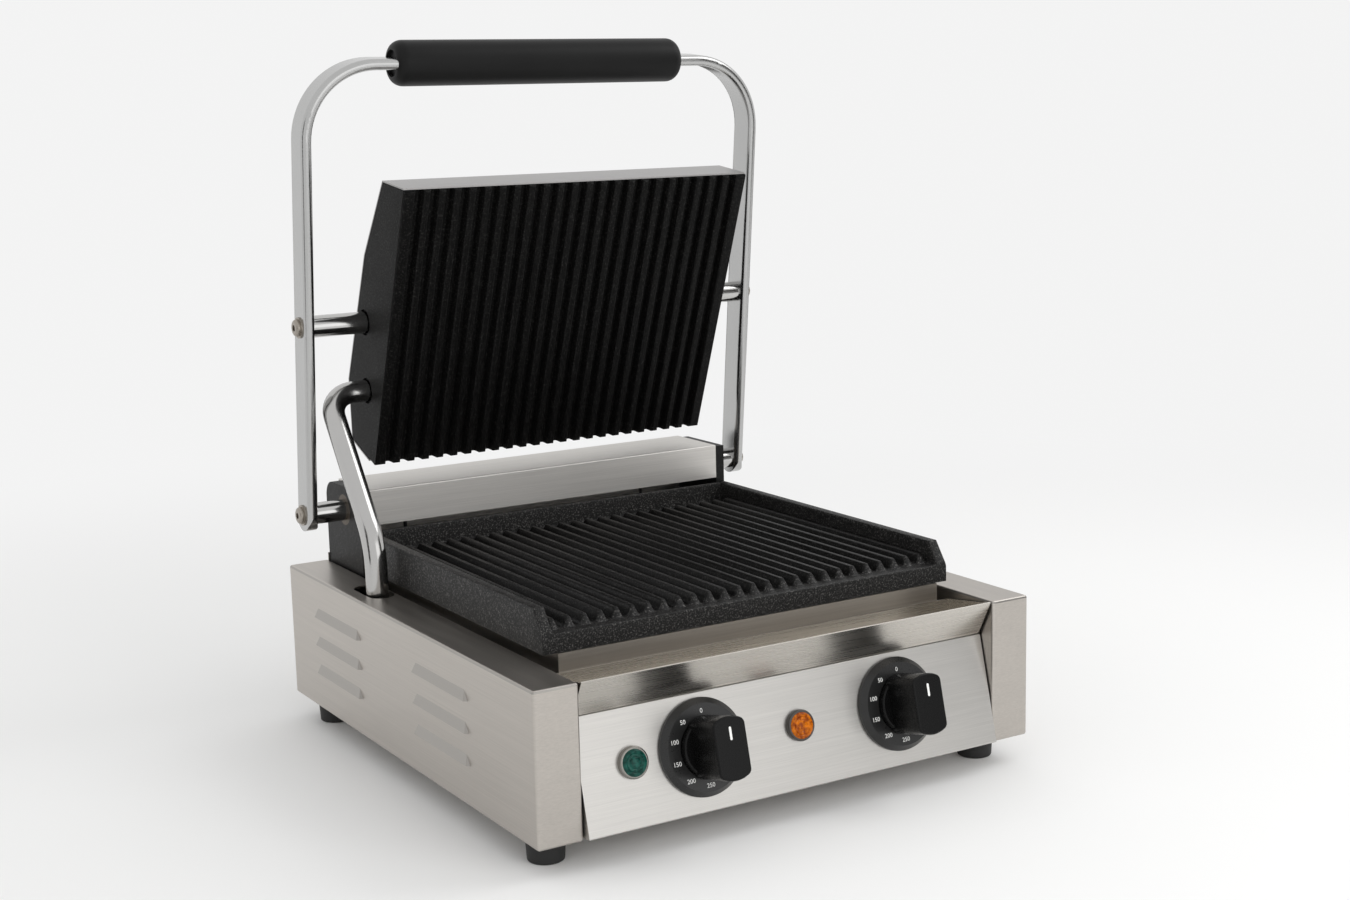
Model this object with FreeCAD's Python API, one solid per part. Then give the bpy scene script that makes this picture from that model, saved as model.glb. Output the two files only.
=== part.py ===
"""Panini press: a commercial contact grill with one ribbed cast-iron plate hinged over another.

Millimetres. X runs across the machine, Y from the front faces of the side boxes to the back, and Z up
from the table.  The machine is drawn open, with its handle up.  Each function makes one kind of piece and
save() writes it, moved so that the origin lies on the table under the middle of the whole machine.
"""
import FreeCAD, Part
import math
import os

V = FreeCAD.Vector
X, Y, Z = V(1, 0, 0), V(0, 1, 0), V(0, 0, 1)

# ---- Driving dimensions -------------------------------------------------------------------------
# Body
BODY_W, BODY_D, BODY_H = 430.0, 450.0, 112.0      # across both side boxes, front to back, box height
FOOT_H, FOOT_R, FOOT_INSET = 21.0, 14.5, 23.5     # rubber feet; inset from the body's outer side
FOOT_FRONT, FOOT_BACK = 35.0, 30.0                # foot centres from the body's front and back
BOX_W = 35.0                                      # width of each side box
SHEET = 1.2                                       # stainless sheet
BEND_R = 2.0                                      # outer radius of the boxes' folds
BOX_FLANGE = 13.0                                 # rim left round the opening in a box's inner wall
LOUVRE_L, LOUVRE_H, LOUVRE_OUT, LOUVRE_PITCH = 97.0, 11.0, 2.6, 24.0
LOUVRE_ROWS, LOUVRE_TOP, LOUVRE_Y = 3, 27.0, (149.0, 345.0)   # rows, first row below box top, centres

# Control panel and drip tray
PANEL_PROUD, PANEL_RECESS = 6.5, 14.0             # panel foot before, and panel head behind, the box fronts
PANEL_LIFT, PANEL_DROP = 2.0, 28.0                # panel foot above box bottom, panel head below box top
PANEL_GAP = 1.0                                   # panel and tray ends to the side boxes
PANEL_FLANGE = 14.0                               # returns folded back at the panel's ends and foot
TRAY_SHEET, TRAY_GAP = 1.0, 0.4                   # tray sheet; tray to the shelf under it and wall behind it
TRAY_BACK_H = 20.0                                # height of the tray's back and end walls

# Inner body
FRAME_INSET, FRAME_Y = 12.5, 52.0                 # body frame under the plate: from the boxes, front wall
FRAME_LIFT = 6.0                                  # frame top above the box tops
FRAME_FLANGE = 14.0                               # flange that carries the lower plate

# Lower plate
LOWER_GAP, LOWER_FRONT, REAR_BAY = 1.5, 54.0, 77.0   # to the boxes' inner faces, front edge, bay behind it
LOWER_RIM, LOWER_REAR_RIM = 8.5, 5.0              # thickness of side walls and rear wall
LOWER_H, LIP_H, LOWER_BASE = 31.0, 14.0, 7.0      # side wall height, lip height, thickness under the ribs
CHAMFER_Y, GUTTER_FRONT, GUTTER_REAR = 12.0, 9.0, 14.0
RIB_H, RIB_CREST, RIB_FOOT, RIB_BEVEL = 7.0, 4.0, 8.8, 7.0
LOWER_RIBS, UPPER_RIBS = 26, 24

# Hinge
HINGE_FROM_BACK, HINGE_ABOVE_BOX = 40.0, 50.0     # axle from the body's back and above the box tops
AXLE_R, RUN_GAP = 9.0, 0.05                       # axle and pivot rods; running clearance
BUSH_R, BUSH_FLANGE_R = 13.0, 16.0
POST_T, POST_ROUND, POST_DROP = 8.3, 14.0, 70.0   # hinge posts: thickness, corner, depth below box tops
COVER_SIDE, COVER_FRONT_H, COVER_TOP = 0.2, 30.0, 21.0   # cover to the posts; its top above the axle
COVER_GAP, COVER_BACK = 1.3, 9.0                  # cover to lower plate; cover back before body back
SPRING_R, SPRING_WIRE, SPRING_TURNS, SPRING_PITCH = 14.0, 3.0, 9, 3.8
SPRING_X = 112.0

# Handle
ARM_INSET, ARM_T, ARM_W = 4.5, 9.0, 27.0          # arm centre inside the body's side, thickness, width
ARM_LEAN = 6.0                                    # degrees forward when open
ARM_L, ARM_BEND = 369.0, 60.0                     # hinge axis to the cross bar, bend radius
GRIP_R, GRIP_L, GRIP_ROUND = 18.5, 266.0, 7.0
PIVOT_AT = 158.9                                  # plate pivot along the arm
SCREW_R, SCREW_HEAD_R, SCREW_HEAD_H, WASHER_R, WASHER_T = 4.0, 7.0, 3.6, 8.6, 1.2
THREAD_GAP = 0.05                                 # screw shank to its tapped hole

# Upper plate, in its own frame: v runs from its front end to its rear end, n up from the rib crests
UPPER_INSET, UPPER_L, UPPER_TILT = 21.5, 247.0, 69.1  # inside the boxes; degrees up from level when open
UPPER_VALLEY, UPPER_BASE, UPPER_WALL = 6.0, 7.0, 8.0
UPPER_CREST, UPPER_FOOT, UPPER_BEVEL = 5.0, 9.8, 1.5
UPPER_OUTLINE = ((9.5, 43.0), (83.0, 63.5), (200.0, 70.0), (249.0, 50.0))
PIVOT_V, PIVOT_N = 137.6, 49.6
CONDUIT_V, CONDUIT_N = 192.0, 31.5
COVER_LIP = 3.0                                   # black edge left below the cover's front strip

# Conduit tube for the upper plate's wires
TUBE_R, TUBE_WALL, TUBE_BEND, TUBE_KNEE_R = 9.0, 1.5, 22.0, 60.0
TUBE_KNEE_Y, TUBE_KNEE_UP, TUBE_DIP = 311.0, 40.0, 8.0   # knee; end of the tube below the box top
SLOT_INSET, SLOT_W = 22.0, 21.4                   # slot in the left box's top: its middle from the side
SLOT_FORE, SLOT_AFT = 18.0, 32.0                  # slot ends before and behind the tube
COUNTERBORE, COUNTERBORE_R = 2.0, 10.8            # recess round each pivot in the upper plate's side

# Controls
KNOB_X = (-81.5, 90.5)
LAMP_X = (-138.0, 2.0)
CONTROL_UP = 46.0                                 # knob and lamp centres up the panel
DIAL_R, DIAL_TOP_R, DIAL_H, DIAL_EDGE = 35.0, 31.0, 7.0, 2.5
KNOB_HUB_R, KNOB_HUB_H, KNOB_R, KNOB_H, KNOB_BAR = 20.5, 12.0, 22.5, 42.0, 26.0
KNOB_GAP = 0.6                                    # knob to panel and to dial ring
SPINDLE_R, BUSHING_R = 3.0, 5.0
LAMP_R, LAMP_LENS_R, LAMP_BEZEL_H, LAMP_BARREL_R = 11.5, 9.0, 4.0, 8.0

# Cable inlet, and what the body holds
GLAND_X, GLAND_UP, GLAND_R, GLAND_BORE_R, GLAND_OUT = -120.0, 42.0, 12.0, 5.0, 16.0
ELEMENT_R, ELEMENT_LEGS, LOWER_ELEMENT_W, UPPER_ELEMENT_W = 4.2, 6, 250.0, 210.0
BAR_T, BOARD_T = 3.0, 12.0                        # element bars; insulation boards

# ---- Derived places -----------------------------------------------------------------------------
BOX_TOP = FOOT_H + BODY_H
BOX_IN = BODY_W / 2 - BOX_W                       # inner face of a side box
HINGE_Y, HINGE_Z = BODY_D - HINGE_FROM_BACK, BOX_TOP + HINGE_ABOVE_BOX
FRAME_W = 2 * (BOX_IN - FRAME_INSET)
FRAME_TOP = BOX_TOP + FRAME_LIFT
LOWER_W = 2 * (BOX_IN - LOWER_GAP)
LOWER_BACK = BODY_D - REAR_BAY
LOWER_D = LOWER_BACK - LOWER_FRONT
UPPER_W = 2 * (BOX_IN - UPPER_INSET)
COVER_W = LOWER_W - 2 * (POST_T + COVER_SIDE)
ARM_X = BODY_W / 2 - ARM_INSET
LIP_Z = FRAME_TOP + LIP_H
CREST_Z = LIP_Z + RIB_H
COVER_Y = LOWER_BACK + COVER_GAP
PANEL_W = 2 * (BOX_IN - PANEL_GAP)
PANEL_FOOT = V(0, -PANEL_PROUD, FOOT_H + PANEL_LIFT)
PANEL_HEAD = V(0, PANEL_RECESS, BOX_TOP - PANEL_DROP)
PANEL_L = PANEL_HEAD.distanceToPoint(PANEL_FOOT)
PANEL_LEAN = math.degrees(math.atan2(PANEL_HEAD.y - PANEL_FOOT.y, PANEL_HEAD.z - PANEL_FOOT.z))
TUBE_X = SLOT_INSET - BODY_W / 2                  # the tube hangs over the slot in the left box
lean = math.radians(ARM_LEAN)
HINGE = V(0, HINGE_Y, HINGE_Z)
ARM_UP = V(0, -math.sin(lean), math.cos(lean))
PIVOT = HINGE + ARM_UP * PIVOT_AT
REAR_SHELF_Z = BOX_TOP + 22.0                      # top of the shelf behind the axle
REAR_REACH = BODY_D + GLAND_OUT
KNOB_TIP = PANEL_FOOT.y + (CONTROL_UP - KNOB_R) * math.sin(math.radians(PANEL_LEAN)) \
    - KNOB_H * math.cos(math.radians(PANEL_LEAN))
ORIGIN_Y = (REAR_REACH + KNOB_TIP) / 2            # middle of the whole machine, front to back


# ---- Shape helpers ------------------------------------------------------------------------------
def save(node, *solids):
    """Writes one piece, or one group of like pieces, as parts/NODE.step."""
    flat = [s for item in solids for s in (item if isinstance(item, (list, tuple)) else [item])]
    bodies = [b for s in flat for b in s.Solids]
    shape = bodies[0] if len(bodies) == 1 else Part.makeCompound(bodies)
    shape.translated(V(0, -ORIGIN_Y, 0)).exportStep("parts/" + node + ".step")


def box(x0, x1, y0, y1, z0, z1):
    return Part.makeBox(x1 - x0, y1 - y0, z1 - z0, V(x0, y0, z0))


def rod(r, start, length, along):
    return Part.makeCylinder(r, length, start, along)


def ring(r_out, r_in, start, length, along):
    return rod(r_out, start, length, along).cut(rod(r_in, start, length, along))


def prism(points, x0, x1):
    """A closed outline of (y, z) points, drawn out along X."""
    corners = [V(x0, y, z) for y, z in points]
    return Part.Face(Part.makePolygon(corners + corners[:1])).extrude(V(x1 - x0, 0, 0))


def offset(points, t):
    """The (y, z) points moved t to the left of the way they run, corners mitred."""
    pts = [V(0, y, z) for y, z in points]
    ways = [(b - a).normalize() for a, b in zip(pts, pts[1:])]
    sides = [V(0, -w.z, w.y) for w in ways]
    moved = [p + (a + b) * (t / (1 + a.dot(b))) for p, a, b in zip(pts[1:-1], sides, sides[1:])]
    moved = [pts[0] + sides[0] * t] + moved + [pts[-1] + sides[-1] * t]
    return [(p.y, p.z) for p in moved]


def folded(points, t, width):
    """A sheet folded along X, its outer face on the points and its thickness to their left."""
    return prism(list(points) + offset(points, t)[::-1], -width / 2, width / 2)


def fuse(shapes):
    return shapes[0].multiFuse(shapes[1:]).removeSplitter()


def cut(shape, tools):
    return shape.cut(Part.makeCompound(tools))


def mirror(shape):
    return shape.mirror(V(0, 0, 0), X)


def pair(shape):
    return [shape, mirror(shape)]


def rounded(shape, r, wanted):
    """Fillets each edge for which wanted(edge) holds."""
    return shape.makeFillet(r, [e for e in shape.Edges if wanted(e)])


def hexagon(r, start, length, along):
    """A six-sided bar, r to its corners."""
    corners = [V(r * math.cos(math.radians(a)), r * math.sin(math.radians(a)), 0) for a in range(0, 361, 60)]
    bar = Part.Face(Part.makePolygon(corners)).extrude(V(0, 0, length))
    return placed(bar, FreeCAD.Placement(start, FreeCAD.Rotation(Z, along)))


def placed(shape, place):
    moved = shape.copy()
    moved.Placement = place.multiply(moved.Placement)
    return moved


def sweep(points, bends, profile):
    """A profile carried along straight runs between points, with an arc of the given radius at each corner."""
    edges, last = [], points[0]
    for p, corner, q, bend in zip(points, points[1:], points[2:], bends):
        a, b = (p - corner).normalize(), (q - corner).normalize()
        half = a.getAngle(b) / 2
        reach = bend / math.tan(half)
        middle = corner + (a + b).normalize() * (bend / math.sin(half) - bend)
        start, end = corner + a * reach, corner + b * reach
        edges += [Part.makeLine(last, start), Part.Arc(start, middle, end).toShape()]
        last = end
    edges.append(Part.makeLine(last, points[-1]))
    return Part.Wire(edges).makePipeShell([profile], True, False)


def circle(r, start, along):
    return Part.Wire(Part.makeCircle(r, start, along))


def on_panel(shape, x):
    """Places a shape drawn with Y up the panel and Z out of it at a control centre on the panel's face."""
    turn = FreeCAD.Rotation(X, 90 - PANEL_LEAN)
    return placed(shape, FreeCAD.Placement(PANEL_FOOT + V(x, 0, 0) + turn.multVec(V(0, CONTROL_UP, 0)), turn))


def on_upper(shape):
    """Places a shape drawn in the upper plate's frame, with Y as v and Z as n."""
    turn = FreeCAD.Rotation(X, -UPPER_TILT)
    return placed(shape, FreeCAD.Placement(PIVOT - turn.multVec(V(0, PIVOT_V, PIVOT_N)), turn))


def on_arm(shape):
    """Places a shape drawn with the hinge axis at the origin and Z up the arm."""
    return placed(shape, FreeCAD.Placement(HINGE, FreeCAD.Rotation(X, ARM_LEAN)))


def ribbed_slab(count, width, heights, widths, start, length, lands):
    """A slab along Y with parallel tapered ribs; heights are its back, rib floor and rib crests, and widths
    the ribs' crests and feet. With lands, the two outermost ribs run out to the edges."""
    (back, floor, crest), (narrow, broad) = heights, widths
    outline, edge, pitch = [], floor, width / count
    for i in range(count):
        middle = (i + 0.5) * pitch - width / 2
        outline += [(middle - broad / 2, floor), (middle - narrow / 2, crest),
                    (middle + narrow / 2, crest), (middle + broad / 2, floor)]
    if lands:
        outline, edge = outline[2:-2], crest
    outline = [(-width / 2, back), (-width / 2, edge)] + outline + [(width / 2, edge), (width / 2, back)]
    corners = [V(x, start, z) for x, z in outline]
    return Part.Face(Part.makePolygon(corners + corners[:1])).extrude(V(0, length, 0))


def feet_places():
    x = BODY_W / 2 - FOOT_INSET
    return [V(side * x, y, 0) for side in (-1, 1) for y in (FOOT_FRONT, BODY_D - FOOT_BACK)]


# ---- Side boxes ---------------------------------------------------------------------------------
def louvre(y, z):
    """A pressed scoop on the right-hand outer wall, and the slot that it opens below itself."""
    half, short = LOUVRE_L / 2, LOUVRE_L / 2 - 8

    def scoop(depth, shrink):
        wall = BODY_W / 2 - SHEET
        low, high = z - LOUVRE_H / 2, z + LOUVRE_H / 2 - shrink
        a = [V(wall, y - half + shrink, low), V(wall, y + half - shrink, low),
             V(wall, y + short - shrink, high), V(wall, y - short + shrink, high)]
        b = [V(wall + depth, y - half + 4 + shrink, low), V(wall + depth, y + half - 4 - shrink, low)]
        faces = [[a[0], a[1], a[2], a[3]], [a[0], a[1], b[1], b[0]], [a[3], a[2], b[1], b[0]],
                 [a[0], a[3], b[0]], [a[1], a[2], b[1]]]
        return Part.Solid(Part.makeShell([Part.Face(Part.makePolygon(f + f[:1])) for f in faces]))

    return scoop(LOUVRE_OUT + SHEET, 0), scoop(LOUVRE_OUT, SHEET).fuse(
        box(BODY_W / 2 - SHEET - 1, BODY_W / 2 - SHEET + 0.01, y - short + SHEET, y + short - SHEET,
            z - LOUVRE_H / 2, z + LOUVRE_H / 2 - SHEET))


def side_box(slotted):
    """The right-hand box; the slotted one is for mirroring to the left, where the conduit tube enters it."""
    x0, x1, t, f = BOX_IN, BODY_W / 2, SHEET, BOX_FLANGE
    shell = box(x0, x1, 0, BODY_D, FOOT_H, BOX_TOP)
    shell = rounded(shell, BEND_R, lambda e: True)
    tools = [box(x0 + t, x1 - t, t, BODY_D - t, FOOT_H + t, BOX_TOP - t),
             box(x0 - 1, x0 + t + 1, f, BODY_D - f, FOOT_H + f, BOX_TOP - f)]
    tools += [rod(SPINDLE_R, V(abs(p.x), p.y, FOOT_H - 1), t + 2, Z) for p in feet_places() if p.x > 0]
    if slotted:
        y0, y1 = TUBE_KNEE_Y - SLOT_FORE, TUBE_KNEE_Y + SLOT_AFT
        tools += [box(-TUBE_X - SLOT_W / 2, -TUBE_X + SLOT_W / 2, y0 + SLOT_W / 2, y1 - SLOT_W / 2,
                      BOX_TOP - t - 1, BOX_TOP + 1)]
        tools += [rod(SLOT_W / 2, V(-TUBE_X, y, BOX_TOP - t - 1), t + 2, Z)
                  for y in (y0 + SLOT_W / 2, y1 - SLOT_W / 2)]
    shell = cut(shell, tools)
    for y in LOUVRE_Y:
        for row in range(LOUVRE_ROWS):
            scoop, opening = louvre(y, BOX_TOP - LOUVRE_TOP - row * LOUVRE_PITCH)
            shell = shell.fuse(scoop).cut(opening)
    return shell


def feet():
    for_one = Part.makeCone(FOOT_R - 1.2, FOOT_R, FOOT_H)
    for_one = rounded(for_one, 1.5, lambda e: e.BoundBox.ZMax < 0.01)
    for_one = cut(for_one, [rod(6.5, V(0, 0, -1), 6, Z), rod(SPINDLE_R, V(), FOOT_H + 1, Z)])
    return [for_one.translated(p) for p in feet_places()]


def foot_screws():
    one = rod(5.5, V(0, 0, 2), 3, Z).fuse(rod(SPINDLE_R - 0.2, V(0, 0, 5), FOOT_H + 2, Z))
    return [one.translated(p) for p in feet_places()]


def foot_nuts():
    one = hexagon(5.8, V(0, 0, FOOT_H + SHEET), 3.5, Z).cut(rod(SPINDLE_R - 0.2, V(0, 0, FOOT_H), 9, Z))
    return [one.translated(p) for p in feet_places()]


# ---- Inner body ---------------------------------------------------------------------------------
def bottom_plate():
    w = BOX_IN - 0.3
    plate = box(-w, w, PANEL_FLANGE / 2, BODY_D, FOOT_H, FOOT_H + SHEET)
    vents = [box(-90, 90, 150 + i * 24, 156 + i * 24, FOOT_H - 1, FOOT_H + 2) for i in range(6)]
    return cut(plate, vents)


def body_frame():
    """The folded frame under the lower plate: front wall, side walls and the flange that carries the plate."""
    w, t, low = FRAME_W / 2, SHEET, FOOT_H + SHEET
    front = box(-w, w, FRAME_Y, FRAME_Y + t, BOX_TOP - PANEL_DROP - 4, FRAME_TOP)
    sides = pair(box(w - t, w, FRAME_Y, BODY_D - t, low, FRAME_TOP))
    top = box(-w, w, FRAME_Y, LOWER_BACK, FRAME_TOP - t, FRAME_TOP).cut(
        box(-w + FRAME_FLANGE, w - FRAME_FLANGE, FRAME_Y + FRAME_FLANGE, LOWER_BACK - FRAME_FLANGE, 0, 200))
    holes = [rod(3.2, p - V(0, 0, 9), 20, Z) for p in plate_bolt_places()]
    holes += [rod(4.2, p - X * 10, 20, X) for p in post_bolt_places()]
    return cut(fuse([front, top] + sides), holes)


def rear_panel():
    t, w = SHEET, BOX_IN - 0.3
    wall = box(-w, w, BODY_D - t, BODY_D, FOOT_H + t, FRAME_TOP)
    head = box(-FRAME_W / 2, FRAME_W / 2, BODY_D - t, BODY_D, FRAME_TOP, REAR_SHELF_Z)
    shelf = box(-FRAME_W / 2, FRAME_W / 2, HINGE_Y + AXLE_R, BODY_D, REAR_SHELF_Z - t, REAR_SHELF_Z)
    hole = rod(8.2, V(GLAND_X, BODY_D - 5, FOOT_H + GLAND_UP), 10, Y)
    slots = [box(x, x + 5, BODY_D - 5, BODY_D + 5, FOOT_H + 45, FOOT_H + 85) for x in range(-30, 130, 14)]
    return cut(fuse([wall, head, shelf]), [hole] + slots)


def post_bolt_places():
    return [V(side * FRAME_W / 2, HINGE_Y + dy, BOX_TOP - dz) for side in (-1, 1)
            for dy, dz in ((-22, 15), (22, 15), (0, 55))]


def hinge_post():
    """The right-hand black post that carries the axle, with a thicker foot against the frame."""
    inner, outer, back = LOWER_W / 2 - POST_T, LOWER_W / 2, BODY_D - SHEET
    post = box(inner, outer, COVER_Y, back, BOX_TOP - POST_DROP, HINGE_Z + COVER_TOP - 1)
    post = rounded(post, POST_ROUND, lambda e: e.BoundBox.ZMin > HINGE_Z and e.BoundBox.YMin > back - 0.01
                   and e.BoundBox.YLength < 0.01 and e.BoundBox.ZLength < 0.01)
    foot = box(FRAME_W / 2, inner, COVER_Y, back, BOX_TOP - POST_DROP, BOX_TOP - 4)
    post = fuse([post, foot])
    bores = [rod(4.0, p, 8, X) for p in post_bolt_places() if p.x > 0]
    return cut(post, [rod(BUSH_R, V(inner - 1, HINGE_Y, HINGE_Z), POST_T + 2, X)] + bores)


def post_bolts():
    one = rod(4.0, V(-SHEET, 0, 0), 8 + SHEET, X).fuse(hexagon(7.5, V(-SHEET - 5, 0, 0), 5, X))
    right = [one.translated(p) for p in post_bolt_places() if p.x > 0]
    return right + [mirror(s) for s in right]


def hinge_bush():
    x = LOWER_W / 2 - POST_T
    body = rod(BUSH_R, V(x, HINGE_Y, HINGE_Z), POST_T, X)
    flange = rod(BUSH_FLANGE_R, V(x - 2, HINGE_Y, HINGE_Z), 2, X)
    return body.fuse(flange).cut(rod(AXLE_R + RUN_GAP, V(x - 3, HINGE_Y, HINGE_Z), POST_T + 4, X))


def hinge_cover():
    top, front, back = HINGE_Z + COVER_TOP, COVER_Y, BODY_D - COVER_BACK
    cover = folded([(back, REAR_SHELF_Z), (back, top), (front, top), (front, top - COVER_FRONT_H)],
                   SHEET, COVER_W)
    cover = rounded(cover, 1.0, lambda e: e.BoundBox.XLength > COVER_W - 1 and e.BoundBox.ZMin > top - 0.01
                    and (abs(e.BoundBox.YMin - front) < 0.01 or abs(e.BoundBox.YMin - back) < 0.01))
    return cut(cover, [rod(2.2, p - Y * 5, 20, Y) for p in cover_screw_places()])


def cover_screw_places():
    return [V(x, BODY_D - COVER_BACK, REAR_SHELF_Z + 20) for x in (-140, -50, 50, 140)]


def cover_screws():
    one = rod(4.2, V(), 2.4, Y).fuse(rod(2.2, V(0, -8, 0), 8, Y))
    return [one.translated(p) for p in cover_screw_places()]


def cover_nuts():
    one = ring(4.5, 2.2, V(0, -SHEET - 4, 0), 4, Y)
    return [one.translated(p) for p in cover_screw_places()]


# ---- Lower plate --------------------------------------------------------------------------------
def plate_bolt_places():
    x = FRAME_W / 2 - FRAME_FLANGE / 2
    return [V(side * x, y, FRAME_TOP) for side in (-1, 1) for y in (LOWER_FRONT + 40, LOWER_BACK - 40)]


def lower_plate():
    """Ribbed casting, open at its front lip, walled at its sides and back, hollow underneath."""
    w, low, top = LOWER_W / 2, FRAME_TOP, FRAME_TOP + LOWER_H
    inner, front, back = w - LOWER_RIM, LOWER_FRONT, LOWER_BACK
    slab = ribbed_slab(LOWER_RIBS, 2 * inner, (LIP_Z - LOWER_BASE, LIP_Z, CREST_Z), (RIB_CREST, RIB_FOOT),
                       front, LOWER_D, False)
    y0, y1 = front + GUTTER_FRONT, back - LOWER_REAR_RIM - GUTTER_REAR
    ends = [prism([(front - 1, LIP_Z), (y0, LIP_Z), (y0 + RIB_BEVEL, CREST_Z + 0.1), (front - 1, CREST_Z + 0.1)], -w, w),
            prism([(back + 1, LIP_Z), (y1, LIP_Z), (y1 - RIB_BEVEL, CREST_Z + 0.1), (back + 1, CREST_Z + 0.1)], -w, w)]
    wall = prism([(front, low), (front, LIP_Z), (front + CHAMFER_Y, top), (back, top), (back, low)], inner, w)
    rear = box(-inner, inner, back - LOWER_REAR_RIM, back, low, top)
    skirt = box(-inner, inner, front, front + 8, low, LIP_Z - LOWER_BASE)
    bosses = [rod(7, p, LIP_Z - LOWER_BASE - low, Z) for p in plate_bolt_places()]
    taps = [rod(3, p - Z, 9, Z) for p in plate_bolt_places()]
    return cut(fuse([cut(slab, ends), rear, skirt] + pair(wall) + bosses), taps)


def plate_bolts():
    one = rod(3, V(0, 0, -SHEET), 8 + SHEET, Z).fuse(hexagon(5.8, V(0, 0, -SHEET - 4), 4, Z))
    return [one.translated(p) for p in plate_bolt_places()]


def element(first, last, width, height):
    """A hairpin heating rod with its legs along Y, ELEMENT_LEGS of them, its two ends at the last Y."""
    step = width / (ELEMENT_LEGS - 1)
    points = [V(-width / 2, last, height)]
    for i in range(ELEMENT_LEGS):
        x = i * step - width / 2
        near, far = (last - 18, first) if i % 2 == 0 else (first, last - 18)
        points += [V(x, near, height), V(x, far, height)][(1 if i == 0 else 0):]
    points[-1] = V(width / 2, last, height)
    return sweep(points, [step / 2 - 1] * (len(points) - 2), circle(ELEMENT_R, points[0], Y))


def element_bars(places, width, casting, away):
    """Flat bars that clamp the element's legs to a casting's face, each with two studs; away is +1 or -1."""
    bars, step = [], width / (ELEMENT_LEGS - 1)
    near, far = casting + away * 2 * ELEMENT_R, casting + away * (2 * ELEMENT_R + BAR_T)
    for y in places:
        studs = [rod(3, V(side * step, y, min(casting, near)), 2 * ELEMENT_R, Z) for side in (-1, 1)]
        bars.append(fuse([box(-width / 2 - 10, width / 2 + 10, y - 8, y + 8, min(near, far),
                              max(near, far))] + studs))
    return bars


def lower_element():
    return element(LOWER_FRONT + 30, LOWER_BACK - 20, LOWER_ELEMENT_W, LIP_Z - LOWER_BASE - ELEMENT_R)


def lower_element_bars():
    return element_bars((LOWER_FRONT + 70, LOWER_FRONT + 150, LOWER_FRONT + 230), LOWER_ELEMENT_W,
                        LIP_Z - LOWER_BASE, -1)


def lower_insulation():
    top = LIP_Z - LOWER_BASE - 2 * ELEMENT_R - BAR_T
    half = LOWER_ELEMENT_W / 2 + 20
    return box(-half, half, LOWER_FRONT + 20, LOWER_BACK - 25, top - BOARD_T, top)


# ---- Drip tray and control panel ----------------------------------------------------------------
def drip_tray():
    """A folded trough that slides forward off the panel's shelf."""
    w, t, floor = PANEL_W / 2 - 1.0, TRAY_SHEET, PANEL_HEAD.z + TRAY_GAP
    back, rim = FRAME_Y - TRAY_GAP, BOX_TOP - TRAY_GAP
    head = (PANEL_HEAD.y + 0.4, floor)
    trough = folded([(0.2, rim), head, (back, floor), (back, floor + TRAY_BACK_H)], t, 2 * w)
    end = prism([(0.2, rim), head, (back, floor), (back, floor + TRAY_BACK_H), (12, rim - 2)], w - t, w)
    return fuse([trough] + pair(end))


def control_panel():
    """The slanted front sheet with its shelf, foot return and end flanges, bored for knobs and lamps."""
    foot, head, t, w = PANEL_FOOT, PANEL_HEAD, SHEET, PANEL_W / 2
    sheet = folded([(FRAME_Y - 0.4, head.z), (head.y, head.z), (foot.y, foot.z), (foot.y + PANEL_FLANGE, foot.z)],
                   t, PANEL_W)
    end = prism([(foot.y + 1, foot.z), (foot.y + PANEL_FLANGE, foot.z), (head.y + PANEL_FLANGE, head.z),
                 (head.y + 1, head.z)], w - t, w)
    sheet = rounded(fuse([sheet] + pair(end)), 1.0,
                    lambda e: e.BoundBox.XLength > PANEL_W - 3 and e.BoundBox.YMax < head.y + 0.01
                    and (abs(e.BoundBox.ZMin - head.z) < 0.01 or abs(e.BoundBox.ZMin - foot.z) < 0.01))
    holes = [on_panel(rod(BUSHING_R + 0.2, V(0, 0, -5), 10, Z), x) for x in KNOB_X]
    holes += [on_panel(rod(LAMP_BARREL_R + 0.2, V(0, 0, -5), 10, Z), x) for x in LAMP_X]
    return cut(sheet, holes)


def dial_ring():
    outline = [V(DIAL_R, 0, 0), V(DIAL_R, 0, DIAL_EDGE), V(DIAL_TOP_R, 0, DIAL_H),
               V(KNOB_HUB_R + KNOB_GAP, 0, DIAL_H), V(KNOB_HUB_R + KNOB_GAP, 0, 0)]
    return Part.Face(Part.makePolygon(outline + outline[:1])).revolve(V(), Z, 360)


def knob():
    """A hub with a straight grip bar, bored for its spindle and hollowed over the fixing nut."""
    hub = rod(KNOB_HUB_R, V(0, 0, KNOB_GAP), KNOB_HUB_H - KNOB_GAP, Z)
    hub = rounded(hub, 1.5, lambda e: e.BoundBox.ZMin > KNOB_HUB_H - 0.01)
    low = DIAL_H + KNOB_GAP
    grip = rod(KNOB_R, V(0, 0, low), KNOB_H - low, Z).common(
        box(-KNOB_BAR / 2, KNOB_BAR / 2, -KNOB_R, KNOB_R, low, KNOB_H))
    grip = rounded(grip, 5.0, lambda e: e.BoundBox.ZLength > KNOB_H - low - 1)
    grip = rounded(grip, 1.5, lambda e: e.BoundBox.ZMin > KNOB_H - 0.01)
    return cut(hub.fuse(grip), [rod(SPINDLE_R, V(0, 0, -1), 22, Z), rod(10.5, V(0, 0, -1), 5.5, Z)])


def spindle():
    return rod(SPINDLE_R, V(0, 0, -16), 37, Z)


def thermostat():
    """The switch body behind the panel with the threaded bushing that its spindle turns in."""
    body = rounded(box(-19, 19, -19, 19, -34, -6), 2.0, lambda e: e.BoundBox.ZLength > 20)
    tabs = box(-12, 12, -6, 6, -40, -34)
    bushing = rod(BUSHING_R, V(0, 0, -6), 10, Z)
    return cut(fuse([body, tabs, bushing]), [rod(SPINDLE_R + RUN_GAP, V(0, 0, -17), 30, Z)])


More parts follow.
